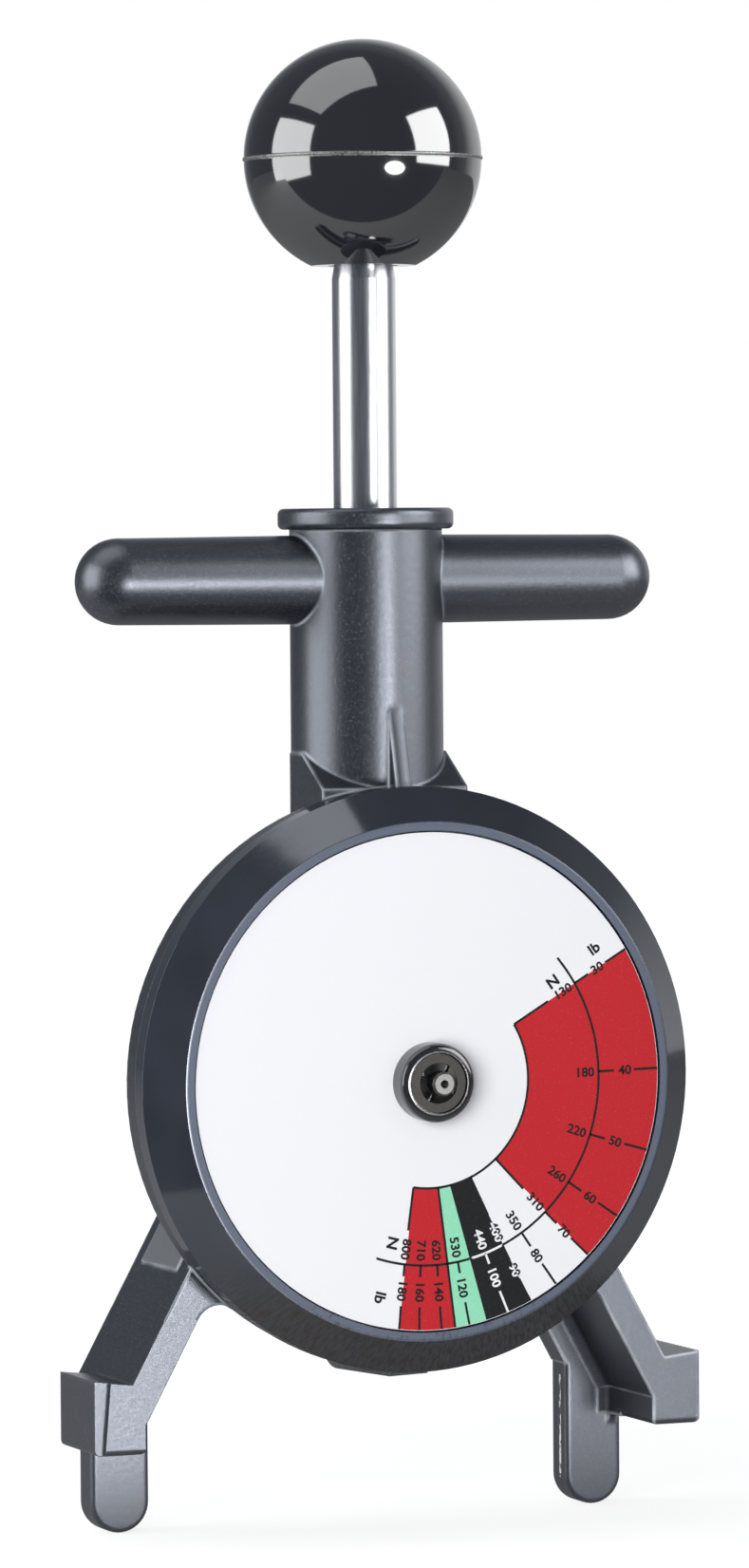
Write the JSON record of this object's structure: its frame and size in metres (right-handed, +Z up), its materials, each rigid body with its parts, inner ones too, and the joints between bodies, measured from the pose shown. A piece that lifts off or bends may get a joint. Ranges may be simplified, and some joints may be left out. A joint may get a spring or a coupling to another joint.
{
  "type": "belt tension tester",
  "caption": "Hand-held drive belt tension tester: a sprung ball-knob plunger pulls a hook up between forked feet and a rack turns a round dial under a fixed index rib.",
  "frame": {"origin": "the middle of the belt seat: on the plunger axis, in the plane of the undersides of the two feet", "axes": "+Z up the plunger towards the ball knob, -Y out of the dial towards the reader, +X to the reader's right along the belt"},
  "size_m": [0.1292, 0.0634, 0.2973],
  "materials": {
    "moulded_nylon": "black glass-filled nylon, satin as moulded",
    "bezel_plastic": "black moulded plastic, smooth",
    "knob_phenolic": "black phenolic, polished",
    "polished_steel": "ground and polished steel",
    "plain_steel": "machined steel",
    "spring_steel": "oil-tempered spring steel",
    "blackened_steel": "black oxide on steel",
    "insert_brass": "turned brass",
    "bush_bronze": "sintered bronze",
    "dial_aluminium": "plain aluminium",
    "dial_print": "white printed sheet",
    "bumper_rubber": "moulded rubber"
  },
  "bodies": {
    "housing": {"body_frame": "moulded_nylon", "tube_cap": "moulded_nylon", "cap_bumper": "bumper_rubber", "guide_bush": "bush_bronze", "load_spring": "spring_steel", "hook_guide": "plain_steel", "guide_screws": "plain_steel", "bearing_plate": "plain_steel", "plate_screws": "plain_steel", "shaft_bush": "bush_bronze", "bezel": "bezel_plastic", "bezel_screws": "plain_steel"},
    "plunger": {"ball_knob": "knob_phenolic", "knob_insert": "plain_steel", "plunger_rod": "polished_steel", "retaining_ring": "spring_steel", "spring_seat": "plain_steel", "carrier": "plain_steel", "carrier_pin": "spring_steel", "hook": "blackened_steel", "hook_screws": "plain_steel", "rack": "plain_steel", "rack_screws": "plain_steel"},
    "dial": {"pinion": "insert_brass", "dial_shaft": "polished_steel", "dial_boss": "dial_aluminium", "dial_plate": "dial_aluminium", "dial_face": "dial_print", "dial_hub": "knob_phenolic", "push_retainer": "blackened_steel"}
  },
  "joints": [
    {"name": "plunger_slide", "type": "slide", "parent": "housing", "child": "plunger", "axis": [0, 0, -1], "range_m": [0, 0.034], "stiffness_N_per_m": 4000, "springref_m": -0.008, "deforming": ["load_spring"]},
    {"name": "dial_spin", "type": "hinge", "parent": "housing", "child": "dial", "pos_m": [0, -0.0234, 0.0724], "axis": [0, -1, 0], "range_deg": [0, 305]}
  ],
  "couplings": [
    {"joint": "dial_spin", "follows": "plunger_slide", "rad_per_m": 156.25}
  ]
}
